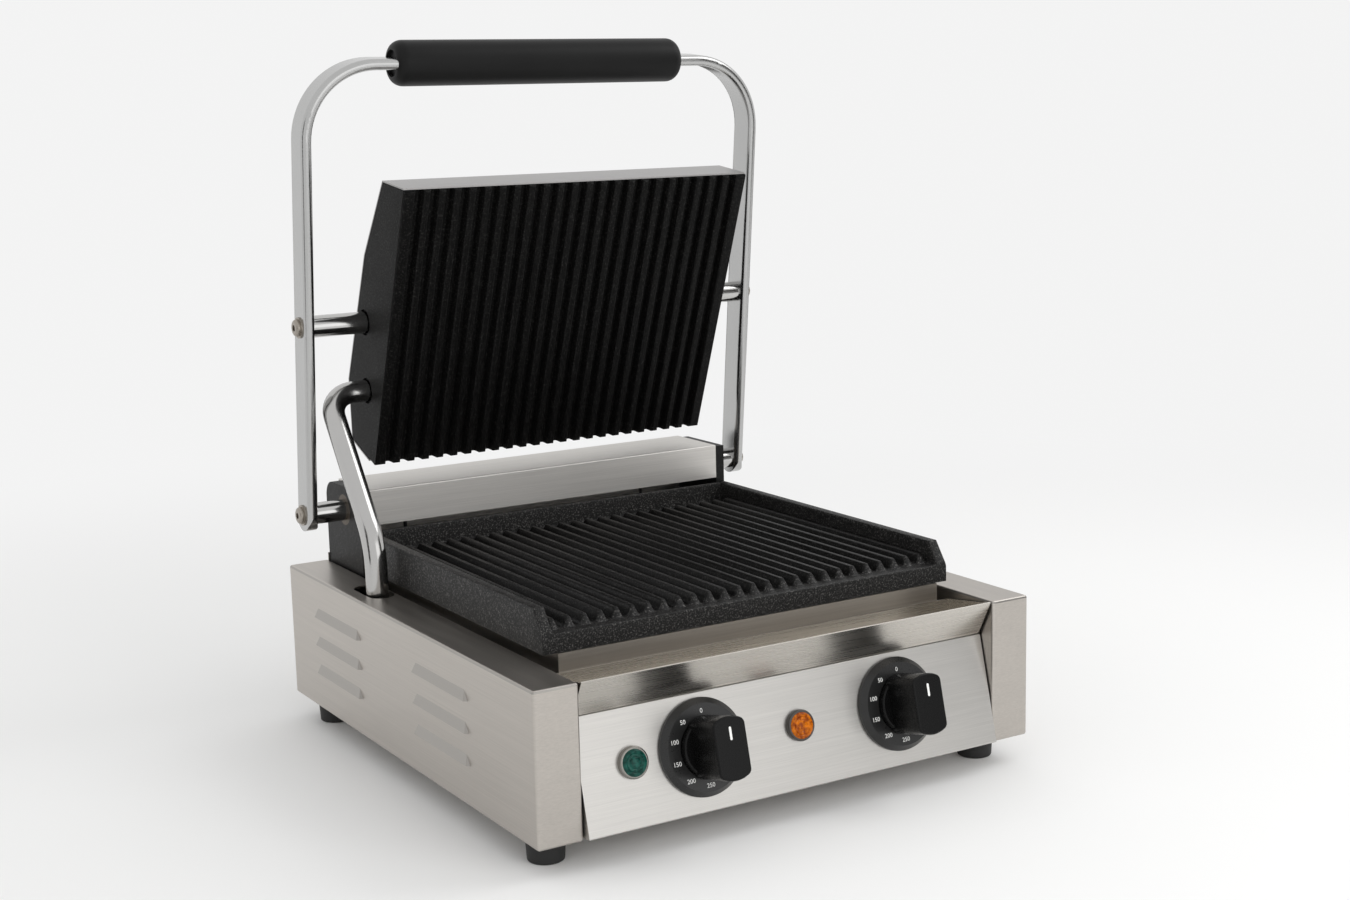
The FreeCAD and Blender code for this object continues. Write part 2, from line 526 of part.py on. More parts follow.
def thermostat_nut():
    return hexagon(8.5, V(), 3.0, Z).cut(rod(BUSHING_R, V(0, 0, -1), 6, Z))


def lamp_bezel():
    body = rod(LAMP_R, V(), LAMP_BEZEL_H, Z)
    body = rounded(body, 1.4, lambda e: e.BoundBox.ZMin > LAMP_BEZEL_H - 0.01)
    return cut(body, [rod(LAMP_LENS_R, V(0, 0, 1.2), 9, Z), rod(LAMP_BARREL_R - 2, V(0, 0, -1), 9, Z)])


def lamp_lens():
    dome = rod(LAMP_LENS_R, V(0, 0, 1.2), 5.0, Z)
    return rounded(dome, 2.2, lambda e: e.BoundBox.ZMin > 6.1)


def lamp_body():
    barrel = rod(LAMP_BARREL_R, V(0, 0, -22), 22, Z)
    nut = hexagon(11.5, V(0, 0, -SHEET - 4), 4, Z)
    return fuse([barrel, nut, rod(LAMP_BARREL_R - 2.2, V(0, 0, -1), 2.2, Z)])


# ---- Handle, axle and plate pivots --------------------------------------------------------------
def handle_bar():
    """A flat-oval bar bent the easy way into a U, with rounded ends bored for the hinge and pivot screws."""
    half, flat = ARM_W / 2, ARM_T / 2
    oval = box(-ARM_X - flat, -ARM_X + flat, -half, half, 0, 1)
    oval = rounded(oval, flat - 0.4, lambda e: e.BoundBox.ZLength > 0.9)
    face = min(oval.Faces, key=lambda f: f.CenterOfMass.z)
    profile = face.OuterWire.translated(V(0, 0, -half))
    bar = sweep([V(-ARM_X, 0, -half), V(-ARM_X, 0, ARM_L), V(ARM_X, 0, ARM_L), V(ARM_X, 0, -half)],
                [ARM_BEND, ARM_BEND], profile)
    ends = box(-ARM_X - ARM_T, ARM_X + ARM_T, -half - 1, half + 1, -half - 1, 0).cut(
        rod(half, V(-ARM_X - ARM_T, 0, 0), 2 * (ARM_X + ARM_T), X))
    holes = [rod(SCREW_R, V(-ARM_X - ARM_T, 0, z), 2 * (ARM_X + ARM_T), X) for z in (0, PIVOT_AT)]
    return on_arm(cut(bar, [ends] + holes))


def grip():
    roll = rod(GRIP_R, V(-GRIP_L / 2, 0, ARM_L), GRIP_L, X)
    roll = rounded(roll, GRIP_ROUND, lambda e: e.BoundBox.XLength < 0.01)
    flat, half = ARM_T / 2, ARM_W / 2
    core = rounded(box(-GRIP_L, GRIP_L, -half, half, ARM_L - flat, ARM_L + flat), flat - 0.4,
                   lambda e: e.BoundBox.XLength > GRIP_L)
    return on_arm(roll.cut(core))


def arm_screws():
    """Button-head socket screws through both arms into the axle and the pivot rods."""
    x = ARM_X + ARM_T / 2 + WASHER_T
    head = rounded(rod(SCREW_HEAD_R, V(x, 0, 0), SCREW_HEAD_H, X), 2.4, lambda e: e.BoundBox.XMin > x + 1)
    one = head.fuse(rod(SCREW_R - 0.1 - THREAD_GAP, V(x - 28, 0, 0), 28, X)).cut(hexagon(2.9, V(x + 1.4, 0, 0), 4, X))
    right = [on_arm(one.translated(V(0, 0, z))) for z in (0, PIVOT_AT)]
    return right + [mirror(s) for s in right]


def arm_washers():
    x = ARM_X + ARM_T / 2
    right = [on_arm(ring(WASHER_R, SCREW_R, V(x, 0, z), WASHER_T, X)) for z in (0, PIVOT_AT)]
    return right + [mirror(s) for s in right]


def hinge_axle():
    reach = ARM_X - ARM_T / 2
    bar = rod(AXLE_R, HINGE - X * reach, 2 * reach, X)
    return cut(bar, [rod(SCREW_R - 0.1, HINGE + X * (side * reach - 20), 40, X) for side in (-1, 1)])


def spring_collars():
    return [ring(17.0, AXLE_R, HINGE + X * (side * SPRING_X - 4), 8, X) for side in (-1, 1)]


def counterbalance_springs():
    """Torsion springs round the axle, each with a leg that bears on the rear panel's shelf."""
    wire = SPRING_WIRE / 2
    length = SPRING_TURNS * SPRING_PITCH
    coil = Part.makeHelix(SPRING_PITCH, length, SPRING_R)
    start = V(SPRING_R, 0, 0)
    coil = Part.Wire(coil.Edges).makePipeShell(
        [circle(wire, start, V(0, 2 * math.pi * SPRING_R, SPRING_PITCH))], True, True)
    coil = placed(coil, FreeCAD.Placement(HINGE + X * (SPRING_X + 4.3 + wire), FreeCAD.Rotation(Z, X)))
    end = HINGE + X * (SPRING_X + 4.3 + wire)
    leg = rod(wire, V(end.x, HINGE_Y + SPRING_R, HINGE_Z), HINGE_Z - REAR_SHELF_Z, -Z)
    return pair(coil.fuse(leg))


def pivot_rods():
    """The polished rods that the upper plate tips on, screwed to the arms."""
    reach, inner = ARM_X - ARM_T / 2, UPPER_W / 2 - UPPER_WALL - 7
    bar = rod(AXLE_R, PIVOT + X * inner, reach - inner, X)
    bar = bar.cut(rod(SCREW_R - 0.1, PIVOT + X * (reach - 24), 30, X))
    return pair(bar)


def pivot_clips():
    x = UPPER_W / 2 - UPPER_WALL - 3
    return pair(ring(12.0, AXLE_R, PIVOT + X * x, 1.8, X))


# ---- Upper plate --------------------------------------------------------------------------------
def upper_outline():
    """The cover's outer face in (v, n), from its rear foot over the top to its front lip."""
    back = UPPER_OUTLINE[-1]
    return [(back[0], UPPER_VALLEY + UPPER_BASE)] + list(UPPER_OUTLINE[::-1]) + [(0.0, COVER_LIP)]


def upper_plate():
    """Ribbed casting with high side walls, bored for the pivot rods and the conduit."""
    w, t, b = UPPER_W / 2, SHEET, UPPER_BEVEL
    slab = ribbed_slab(UPPER_RIBS, UPPER_W, (UPPER_VALLEY + UPPER_BASE, UPPER_VALLEY, 0.0),
                       (UPPER_CREST, UPPER_FOOT), t, UPPER_L - t, True)
    inside = offset(upper_outline(), t)
    (lip_v, lip_n), (head_v, head_n) = inside[-1], inside[-2]
    slab = cut(slab, [prism([(t - 1, -1), (t + b, -1), (t + b, 0), (t, b), (t - 1, b)], -w, w),
                      prism([(UPPER_L + 1, -1), (UPPER_L - b, -1), (UPPER_L - b, 0), (UPPER_L, b), (UPPER_L + 1, b)],
                            -w, w),
                      prism([(-5, lip_n), (lip_v, lip_n), (head_v, head_n), (-5, head_n)], -w, w)])
    slope = (head_v - lip_v) / (head_n - lip_n)
    inside = [(UPPER_L, UPPER_VALLEY), (UPPER_L, UPPER_VALLEY + UPPER_BASE)] + inside[1:-1]
    inside += [(lip_v + (UPPER_VALLEY - lip_n) * slope, UPPER_VALLEY)]
    wall = prism(inside, w - UPPER_WALL, w)
    bosses = [rod(7, V(p.x, p.y, UPPER_VALLEY + UPPER_BASE - 0.5), p.z - UPPER_VALLEY - UPPER_BASE - t, Z)
              for p in upper_screw_places()]
    casting = fuse([slab] + pair(wall) + bosses)
    bores = []
    for v, n, x0, x1 in ((PIVOT_V, PIVOT_N, -w, w), (CONDUIT_V, CONDUIT_N, -w, 0)):
        bores.append(rod(AXLE_R + RUN_GAP, V(x0 - 1, v, n), x1 - x0 + 2, X))
        bores += [rod(COUNTERBORE_R, V(-w - 1, v, n), COUNTERBORE + 1, X)]
    bores.append(rod(COUNTERBORE_R, V(w - COUNTERBORE, PIVOT_V, PIVOT_N), COUNTERBORE + 1, X))
    bores += [rod(2.2, V(p.x, p.y, p.z - 16), 18, Z) for p in upper_screw_places()]
    return on_upper(cut(casting, bores))


def upper_cover():
    cover = folded(upper_outline(), SHEET, UPPER_W)
    cover = rounded(cover, 1.1, lambda e: e.BoundBox.XLength > UPPER_W - 1
                    and any(abs(e.BoundBox.YMin - v) < 0.01 and abs(e.BoundBox.ZMin - n) < 0.01
                            for v, n in UPPER_OUTLINE))
    return on_upper(cut(cover, [rod(2.2, p - Z * 5, 10, Z) for p in upper_screw_places()]))


def upper_screw_places():
    """Cover screws, on the long slope between the outline's two upper corners."""
    (v0, n0), (v1, n1) = UPPER_OUTLINE[1:3]
    return [V(side * 125.0, v, n0 + (n1 - n0) * (v - v0) / (v1 - v0)) for side in (-1, 1)
            for v in (v0 + 14, v1 - 14)]


def upper_screws():
    one = rounded(rod(4.4, V(0, 0, 0.3), 2.6, Z), 1.6, lambda e: e.BoundBox.ZMin > 2.8)
    one = one.fuse(rod(2.2, V(0, 0, -14), 14.4, Z))
    return [on_upper(one.translated(p)) for p in upper_screw_places()]


def upper_element():
    return on_upper(element(18.0, UPPER_L - 22, UPPER_ELEMENT_W, UPPER_VALLEY + UPPER_BASE + ELEMENT_R))


def upper_element_bars():
    bars = element_bars((60.0, 125.0, 190.0), UPPER_ELEMENT_W, UPPER_VALLEY + UPPER_BASE, 1)
    return [on_upper(b) for b in bars]


def upper_insulation():
    low = UPPER_VALLEY + UPPER_BASE + 2 * ELEMENT_R + BAR_T
    half = UPPER_ELEMENT_W / 2 + 5
    return on_upper(box(-half, half, 20, UPPER_L - 22, low, low + BOARD_T))


def conduit_places():
    """Corners of the conduit's centre line, from inside the upper plate to inside the left box."""
    turn = FreeCAD.Rotation(X, -UPPER_TILT)
    start = PIVOT + turn.multVec(V(0, CONDUIT_V - PIVOT_V, CONDUIT_N - PIVOT_N))
    knee = V(TUBE_X, TUBE_KNEE_Y, BOX_TOP + TUBE_KNEE_UP)
    return [V(-UPPER_W / 2 + UPPER_WALL + 5, start.y, start.z), V(TUBE_X, start.y, start.z), knee,
            V(TUBE_X, TUBE_KNEE_Y, BOX_TOP - TUBE_DIP)]


def conduit_tube():
    route, bends = conduit_places(), [TUBE_BEND, TUBE_KNEE_R]
    outer = sweep(route, bends, circle(TUBE_R, route[0], -X))
    return outer.cut(sweep(route, bends, circle(TUBE_R - TUBE_WALL, route[0], -X)))


def conduit_collar():
    start = conduit_places()[0]
    return ring(12.0, TUBE_R, start - X * 4.7, 1.8, X)


# ---- Electrics ----------------------------------------------------------------------------------
def cable_gland():
    """Threaded through the rear panel; its dome nut closes on the supply cord."""
    at = V(GLAND_X, BODY_D, FOOT_H + GLAND_UP)
    dome = rounded(rod(GLAND_R - 1.5, at + Y * 6, GLAND_OUT - 6, Y), 4.0, lambda e: e.BoundBox.YMin > at.y + 15)
    body = fuse([hexagon(GLAND_R, at, 6, Y), dome, rod(8.0, at - Y * 12, 12, Y)])
    return body.cut(rod(GLAND_BORE_R, at - Y * 14, 40, Y))


def gland_nut():
    at = V(GLAND_X, BODY_D - SHEET - 5, FOOT_H + GLAND_UP)
    return hexagon(11.5, at, 5, Y).cut(rod(8.0, at - Y, 9, Y))


def terminal_block():
    low = FOOT_H + SHEET
    block = box(GLAND_X - 35, GLAND_X + 35, 350, 372, low, low + 18)
    return cut(block, [rod(3.5, V(GLAND_X + dx, y, low + 10), 10, Z)
                       for dx in (-24, -8, 8, 24) for y in (356, 366)])


def wires():
    """The leads from the terminal block to the two thermostats and the two lamps."""
    runs, low = [], FOOT_H + SHEET
    for i, (x, dx, r, depth) in enumerate(((KNOB_X[0], -24, 1.6, -42.0), (KNOB_X[1], 24, 1.6, -42.0),
                                           (LAMP_X[0], -8, 1.2, -24.0), (LAMP_X[1], 8, 1.2, -24.0))):
        tail = on_panel(Part.Vertex(V(0, 0, depth)), x).Point
        height = low + 3.0 + 3.8 * i
        block = V(GLAND_X + dx, 349.5, height)
        route = [block, V(block.x, 300 - abs(dx), height), V(tail.x, 300 - abs(dx), height),
                 V(tail.x, tail.y + 14, height), tail]
        runs.append(sweep(route, [8, 8, 8], circle(r, route[0], -Y)))
    return runs


def panel_group(make, places):
    return [on_panel(make(), x) for x in places]


def build():
    os.makedirs("parts", exist_ok=True)
    save("side_box_left", mirror(side_box(True)))
    save("side_box_right", side_box(False))
    save("feet", feet())
    save("foot_screws", foot_screws())
    save("foot_nuts", foot_nuts())
    save("bottom_plate", bottom_plate())
    save("body_frame", body_frame())
    save("rear_panel", rear_panel())
    save("control_panel", control_panel())
    save("drip_tray", drip_tray())
    save("lower_plate", lower_plate())
    save("plate_bolts", plate_bolts())
    save("lower_element", lower_element())
    save("lower_element_bars", lower_element_bars())
    save("lower_insulation", lower_insulation())
    save("hinge_post_right", hinge_post())
    save("hinge_post_left", mirror(hinge_post()))
    save("post_bolts", post_bolts())
    save("hinge_bushes", pair(hinge_bush()))
    save("hinge_cover", hinge_cover())
    save("cover_screws", cover_screws())
    save("cover_nuts", cover_nuts())
    save("counterbalance_springs", counterbalance_springs())
    save("hinge_axle", hinge_axle())
    save("spring_collars", spring_collars())
    save("handle_bar", handle_bar())
    save("handle_grip", grip())
    save("arm_screws", arm_screws())
    save("arm_washers", arm_washers())
    save("pivot_rods", pivot_rods())
    save("pivot_clips", pivot_clips())
    save("upper_plate", upper_plate())
    save("upper_cover", upper_cover())
    save("upper_cover_screws", upper_screws())
    save("upper_element", upper_element())
    save("upper_element_bars", upper_element_bars())
    save("upper_insulation", upper_insulation())
    save("conduit_tube", conduit_tube())
    save("conduit_collar", conduit_collar())
    for side, x in zip(("left", "right"), KNOB_X):
        save("dial_ring_" + side, on_panel(dial_ring(), x))
        save("knob_" + side, on_panel(knob(), x))
        save("spindle_" + side, on_panel(spindle(), x))
        save("thermostat_" + side, on_panel(thermostat(), x))
    save("thermostat_nuts", panel_group(thermostat_nut, KNOB_X))
    for name, x in zip(("power", "heat"), LAMP_X):
        save(name + "_lamp_bezel", on_panel(lamp_bezel(), x))
        save(name + "_lamp_lens", on_panel(lamp_lens(), x))
    save("lamp_bodies", panel_group(lamp_body, LAMP_X))
    save("cable_gland", cable_gland())
    save("gland_nut", gland_nut())
    save("terminal_block", terminal_block())
    save("internal_wires", wires())


build()
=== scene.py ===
"""Looks of a panini press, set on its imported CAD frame.  Metres; X across the machine, Y to its back, Z up.

The file follows the machine as it is put together: boxes and feet, inner body, lower plate, tray and panel,
hinge, handle, upper plate, conduit, controls, electrics, and last the studio.
"""
import math
import bmesh
import bpy
import numpy as np
from mathutils import Matrix, Vector


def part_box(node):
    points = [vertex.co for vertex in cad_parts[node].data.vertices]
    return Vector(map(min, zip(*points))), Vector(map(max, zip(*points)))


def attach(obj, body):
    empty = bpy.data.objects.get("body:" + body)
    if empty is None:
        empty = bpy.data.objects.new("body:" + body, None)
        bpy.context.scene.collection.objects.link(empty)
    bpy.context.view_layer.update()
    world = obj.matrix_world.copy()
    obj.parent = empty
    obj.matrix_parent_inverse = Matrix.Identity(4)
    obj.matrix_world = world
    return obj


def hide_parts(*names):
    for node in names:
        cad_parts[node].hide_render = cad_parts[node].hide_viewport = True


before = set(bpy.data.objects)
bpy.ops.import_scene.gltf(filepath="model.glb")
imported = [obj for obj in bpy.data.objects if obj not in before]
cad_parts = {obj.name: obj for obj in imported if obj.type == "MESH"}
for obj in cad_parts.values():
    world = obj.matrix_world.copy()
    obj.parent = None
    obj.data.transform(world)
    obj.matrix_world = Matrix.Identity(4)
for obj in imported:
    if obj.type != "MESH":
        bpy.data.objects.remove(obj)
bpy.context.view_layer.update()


# ---- Side boxes ----------------------------------------------------------------------------------
# Two folded boxes of satin stainless sheet that stand along the machine's sides and carry its weight.
# The sheet is brushed along its length; each outer wall has six pressed louvres, their sloped faces painted a shade
# darker as painted shade.
class Value:
    """A number socket of a material; arithmetic on it adds Math nodes."""

    def __init__(self, finish, socket):
        self.finish, self.socket = finish, socket

    def _with(self, operation, a, b):
        return self.finish.node("Math", {"operation": operation}, (a, b))

    def __add__(self, other):
        return self._with("ADD", self, other)

    def __sub__(self, other):
        return self._with("SUBTRACT", self, other)

    def __rsub__(self, other):
        return self._with("SUBTRACT", other, self)

    def __mul__(self, other):
        return self._with("MULTIPLY", self, other)

    def __pow__(self, other):
        return self._with("POWER", self, other)

    __radd__, __rmul__ = __add__, __mul__


class Finish:
    """A surface finish built on one Principled shader."""

    def __init__(self, name, **steady):
        self.material = bpy.data.materials.new(name)
        self.material.use_nodes = True
        self.tree = self.material.node_tree
        self.shader = self.tree.nodes["Principled BSDF"]
        for socket, value in steady.items():
            self.feed(self.shader.inputs[socket.replace("_", " ")], value)

    def feed(self, socket, value):
        if isinstance(value, Value):
            self.tree.links.new(value.socket, socket)
        else:
            socket.default_value = value

    def node(self, kind, settings, values, out=0):
        """A node with its settings made first, then its sockets given values or links."""
        made = self.tree.nodes.new("ShaderNode" + kind)
        for name, setting in settings.items():
            if name == "stops":
                ramp = made.color_ramp
                while len(ramp.elements) < len(setting):
                    ramp.elements.new(0.5)
                for element, (place, shade) in zip(ramp.elements, setting):
                    element.position, element.color = place, (shade, shade, shade, 1)
            else:
                setattr(made, name, setting)
        for key, value in (values.items() if isinstance(values, dict) else enumerate(values)):
            self.feed(made.inputs[key], value)
        return Value(self, made.outputs[out])

    def noise(self, stretch, detail=3.0, rough=0.55):
        """Cloudy noise from 0 to 1 with the given number of features to the metre along X, Y and Z."""
        place = self.node("Mapping", {}, {"Vector": self.node("TexCoord", {}, {}, "Object"), "Scale": stretch})
        return self.node("TexNoise", {}, {"Vector": place, "Scale": 1.0, "Detail": detail, "Roughness": rough})

    def steps(self, value, *stops):
        return self.node("ValToRGB", {"stops": stops}, {0: value})

    def mix(self, amount, first, second):
        return self.node("Mix", {"data_type": "RGBA"}, {0: amount, 6: first, 7: second}, 2)

    def set(self, socket, value):
        self.feed(self.shader.inputs[socket], value)

    def bump(self, height, distance, strength=1.0):
        self.set("Normal", self.node("Bump", {}, {"Strength": strength, "Distance": distance, "Height": height}))


def dress(finish, *names):
    """Gives CAD pieces a finish."""
    for name in names:
        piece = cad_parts[name]
        if not piece.material_slots:
            piece.data.materials.append(finish.material)
        for place in piece.material_slots:
            place.material = finish.material


def brushed(name, colour, grain, rough, depth=0.000012):
    """Satin stainless: straight fine scratches, with the soft cloudiness of a linished sheet.  Grain holds the
    number of scratches to the metre along X, Y and Z, so it is small along the way of brushing."""
    finish = Finish(name, Metallic=1.0)
    fine = finish.noise(grain, 3.0, 0.65)
    broad = finish.noise(tuple(g * 0.18 for g in grain), 2.0, 0.5)
    cloud = finish.noise((7.0, 7.0, 7.0), 2.0, 0.5)
    streak = fine * 0.75 + broad * 0.25
    dark = tuple(c * 0.91 for c in colour) + (1,)
    light = tuple(min(1.0, c * 1.08) for c in colour) + (1,)
    finish.set("Base Color", finish.mix(finish.steps(streak, (0.3, 0.0), (0.7, 1.0)), dark, light))
    finish.set("Roughness", streak * 0.16 + cloud * 0.06 + (rough - 0.11))
    finish.bump(streak, depth, 0.7)
    return finish


box_sheet = brushed("box_stainless", (0.50, 0.468, 0.432), (260.0, 9.0, 1100.0), 0.34)
# Painted shade: faces whose normals tilt part way up, the louvres' slopes, are mixed towards a darker colour than the
# wall round them.
facing = box_sheet.node("SeparateXYZ", {}, (box_sheet.node("TexCoord", {}, {}, "Normal"),), 2)
louvre_shade_mask = box_sheet.steps(facing, (0.04, 0.0), (0.12, 1.0), (0.75, 1.0), (0.85, 0.0))
plain = Value(box_sheet, box_sheet.shader.inputs["Base Color"].links[0].from_socket)
box_sheet.set("Base Color", box_sheet.mix(louvre_shade_mask * 0.8, plain, (0.34, 0.325, 0.305, 1)))
dress(box_sheet, "side_box_left", "side_box_right")


# ---- Feet ----------------------------------------------------------------------------------------
# Moulded black rubber feet, each held by a plated screw and a nut inside the box.
def moulded(name, colour, rough, grain, depth, coat=0.0, gloss=0.4):
    """Moulded rubber or plastic with a fine spark-eroded texture; grain is in features to the metre."""
    finish = Finish(name, Coat_Weight=coat, Coat_Roughness=0.12, Specular_IOR_Level=gloss)
    pores = finish.noise((grain, grain, grain), 2.0, 0.6)
    cloud = finish.noise((24.0, 24.0, 24.0), 2.0, 0.5)
    shade = pores * 0.35 + cloud * 0.65
    finish.set("Base Color", finish.mix(shade, tuple(c * 0.75 for c in colour) + (1,),
                                        tuple(c * 1.3 for c in colour) + (1,)))
    finish.set("Roughness", pores * 0.16 + cloud * 0.08 + (rough - 0.12))
    finish.bump(pores, depth, 0.6)
    return finish


def plated(name, colour, rough):
    """Zinc or nickel plate on turned steel, faintly clouded."""
    finish = Finish(name, Metallic=1.0)
    cloud = finish.noise((180.0, 180.0, 180.0), 3.0, 0.6)
    finish.set("Base Color", finish.mix(cloud, tuple(c * 0.8 for c in colour) + (1,), colour + (1,)))
    finish.set("Roughness", cloud * 0.15 + (rough - 0.07))
    return finish


rubber = moulded("foot_rubber", (0.018, 0.018, 0.018), 0.62, 900.0, 0.00005)
zinc = plated("zinc_plate", (0.62, 0.61, 0.58), 0.34)
dress(rubber, "feet")
dress(zinc, "foot_screws", "foot_nuts")

# ---- Inner body ----------------------------------------------------------------------------------
# Bottom plate, the folded frame that carries the lower plate, and the back wall: plain brushed sheet that
# shows as the wall behind the drip tray and at the machine's back.
inner_sheet = brushed("inner_stainless", (0.42, 0.39, 0.355), (9.0, 260.0, 900.0), 0.32)
back_sheet = brushed("back_stainless", (0.50, 0.47, 0.435), (9.0, 260.0, 1000.0), 0.36)
dress(inner_sheet, "body_frame")
dress(back_sheet, "bottom_plate", "rear_panel")


# ---- Lower plate ---------------------------------------------------------------------------------
# One grey-iron casting, blackened and oiled: parallel ribs between a front lip and a rear gutter, with
# walls at its sides and back.  Its rib faces are painted darker, as painted shade, and the lip, the gutter and the
# walls lighter with more sparkle, as painted highlight.
def cast_iron(name, shade, rough, sparkle, gloss):
    """Blackened cast iron: pitted sand skin at two sizes, with brighter peaks that are partly rubbed metal and partly
    painted glints of the skin's highlights.
    """
    finish = Finish(name, Metallic=0.0, Specular_IOR_Level=gloss)
    sand = finish.noise((720.0, 720.0, 720.0), 3.0, 0.7)
    pits = finish.noise((1900.0, 1900.0, 1900.0), 2.0, 0.6)
    cloud = finish.noise((26.0, 26.0, 26.0), 3.0, 0.6)
    rubbed_glint_peaks = finish.steps(sand * 0.75 + pits * 0.25, (0.52, 0.0), (0.68, 1.0))
    base = finish.mix(cloud, (shade * 0.72, shade * 0.70, shade * 0.67, 1), (shade * 1.25, shade * 1.23, shade * 1.2, 1))
    # Painted glints together with rubbed metal: the sand's peaks are lifted towards a light grey, as much as sparkle
    # asks.
    finish.set("Base Color", finish.mix(rubbed_glint_peaks * sparkle, base, (0.13, 0.125, 0.12, 1)))
    finish.set("Roughness", rough + cloud * 0.12 - rubbed_glint_peaks * 0.18 - 0.06)
    finish.bump(sand * 0.7 + pits * 0.3, 0.00022, 0.75)
    return finish


def piece(name, points, quads, finish, smooth=35.0):
    """A mesh object in place from arrays of points and four-cornered faces, with crisp edges past an angle."""
    mesh = bpy.data.meshes.new(name)
    mesh.from_pydata(points.tolist(), [], quads.tolist() if isinstance(quads, np.ndarray) else quads)
    mesh.materials.append(finish.material)
    mesh.polygons.foreach_set("use_smooth", np.ones(len(mesh.polygons), bool))
    mesh.set_sharp_from_angle(angle=math.radians(smooth))
    made = bpy.data.objects.new(name, mesh)
    bpy.context.scene.collection.objects.link(made)
    return made


def grid_quads(rows, columns, close=False):
    """The four-cornered faces of a grid of rows by columns of points; closed, its last column joins its first."""
    i, j = np.meshgrid(np.arange(rows - 1), np.arange(columns if close else columns - 1), indexing="ij")
    k = (j + 1) % columns
    return np.stack([i * columns + j, i * columns + k, (i + 1) * columns + k, (i + 1) * columns + j],
                    -1).reshape(-1, 4)


def ease(t):
    """Nought to one with a level start and end: 3t^2 - 2t^3, held outside that span."""
    t = np.clip(t, 0, 1)
    return t * t * (3 - 2 * t)


def plate_height(x, y, half, front, back, levels, ribs):
    """The lower plate's height over (x, y).  The bed is its lip height plus rounded ribs, each one level on its crest
    and falling away across it on an eased step, faded out at both ends.  Walls rise beside it on steep eased steps,
    and every outer edge is a quarter circle."""
    lip, crest, top = levels
    rim, rear, bevel, radius = 0.0085, 0.005, 0.012, 0.0012
    pitch = 2 * (half - rim) / ribs
    across = np.abs(((x + half - rim) / pitch) % 1 - 0.5) * 2
    crown = 1 - ease((across - 0.22) / 0.52)
    run = ease((y - front - 0.0085) / 0.0075) * ease((back - rear - 0.0135 - y) / 0.0075)
    bed = lip + (crest - lip) * crown * run
    side_top = np.minimum(top, lip + (top - lip) * (y - front) / bevel)
    side = lip + (side_top - lip) * ease((np.abs(x) - (half - rim) + 0.0012) / 0.0016)
    behind = lip + (top - lip) * ease((y - (back - rear) + 0.0012) / 0.0016)
    height = np.maximum(np.maximum(bed, side), behind)
    for edge in (half - np.abs(x), y - front, back - y):
        near = np.clip(radius - edge, 0, radius)
        height = height - (radius - np.sqrt(radius ** 2 - near ** 2))
    return height


low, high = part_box("lower_plate")
plate_half, plate_front, plate_back = high.x, low.y, high.y
lip_level, crest_level = low.z + 0.014, low.z + 0.021
bed_half = plate_half - 0.0085
edge_steps = np.array([0, 0.00008, 0.0003, 0.0007, 0.0012])
wall_steps = np.linspace(-0.0013, 0.0005, 10)
across_half = np.concatenate([plate_half - edge_steps, bed_half + wall_steps[::-1]])
ribs_x = np.linspace(-bed_half + 0.0014, bed_half - 0.0014, 26 * 14 + 1)
xs = np.unique(np.concatenate([-across_half, ribs_x, across_half]))
ys = np.unique(np.concatenate([
    plate_front + edge_steps, plate_front + np.linspace(0.0012, 0.012, 9), plate_front + np.linspace(0.008, 0.0165, 12),
    np.linspace(plate_front + 0.017, plate_back - 0.0280, 9), plate_back - 0.005 - np.linspace(0.0135, 0.0215, 10),
    plate_back - 0.005 + wall_steps, plate_back - np.linspace(0.0015, 0.019, 6), plate_back - edge_steps]))
gx, gy = np.meshgrid(xs, ys)
gz = plate_height(gx, gy, plate_half, plate_front, plate_back, (lip_level, crest_level, high.z), 26)
bed = np.stack([gx, gy, gz], -1).reshape(-1, 3)
rows, columns = len(ys), len(xs)
rim_loop = np.concatenate([np.arange(columns), np.arange(1, rows) * columns + columns - 1,
                           (rows - 1) * columns + np.arange(columns - 2, -1, -1),
                           np.arange(rows - 2, 0, -1) * columns])
skirt = bed[rim_loop].copy()
skirt[:, 2] = low.z
count = len(rim_loop)
ring_next = np.roll(np.arange(count), -1)
skirt_quads = np.stack([rim_loop, np.arange(count) + len(bed), ring_next + len(bed), rim_loop[ring_next]], -1)
floor_face = [list(range(len(bed) + count - 1, len(bed) - 1, -1))]
# Two copies of the iron: the lighter, more sparkling one is painted highlight on the lip, the gutter and the walls, and
# the darker one with less sparkle is painted shade on the ribs.
iron = cast_iron("lower_plate_iron", 0.006, 0.46, 1.0, 0.20)
rib_shade_iron = cast_iron("rib_painted_shade_iron", 0.0025, 0.44, 0.35, 0.14)
lower_plate = piece("lower_plate_casting", np.concatenate([bed, skirt]),
                    np.concatenate([grid_quads(rows, columns), skirt_quads]).tolist() + floor_face, iron, 50.0)
lower_plate.data.materials.append(rib_shade_iron.material)
# The rib faces that face up take the painted-shade copy.
for face in lower_plate.data.polygons:
    x, y, z = face.center
    on_ribs = abs(x) < bed_half - 0.0012 and plate_front + 0.0135 < y < plate_back - 0.0235
    face.material_index = 1 if on_ribs and face.normal.z > 0 else 0
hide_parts("lower_plate")
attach(lower_plate, "base")

# Under it: the hairpin element with its clamp bars, and a board of white fibre insulation.
element = plated("element_sheath", (0.16, 0.14, 0.12), 0.5)
board = moulded("fibre_board", (0.72, 0.70, 0.64), 0.9, 500.0, 0.0002)
dress(element, "lower_element", "upper_element")
dress(zinc, "plate_bolts", "lower_element_bars", "upper_element_bars")
dress(board, "lower_insulation", "upper_insulation")

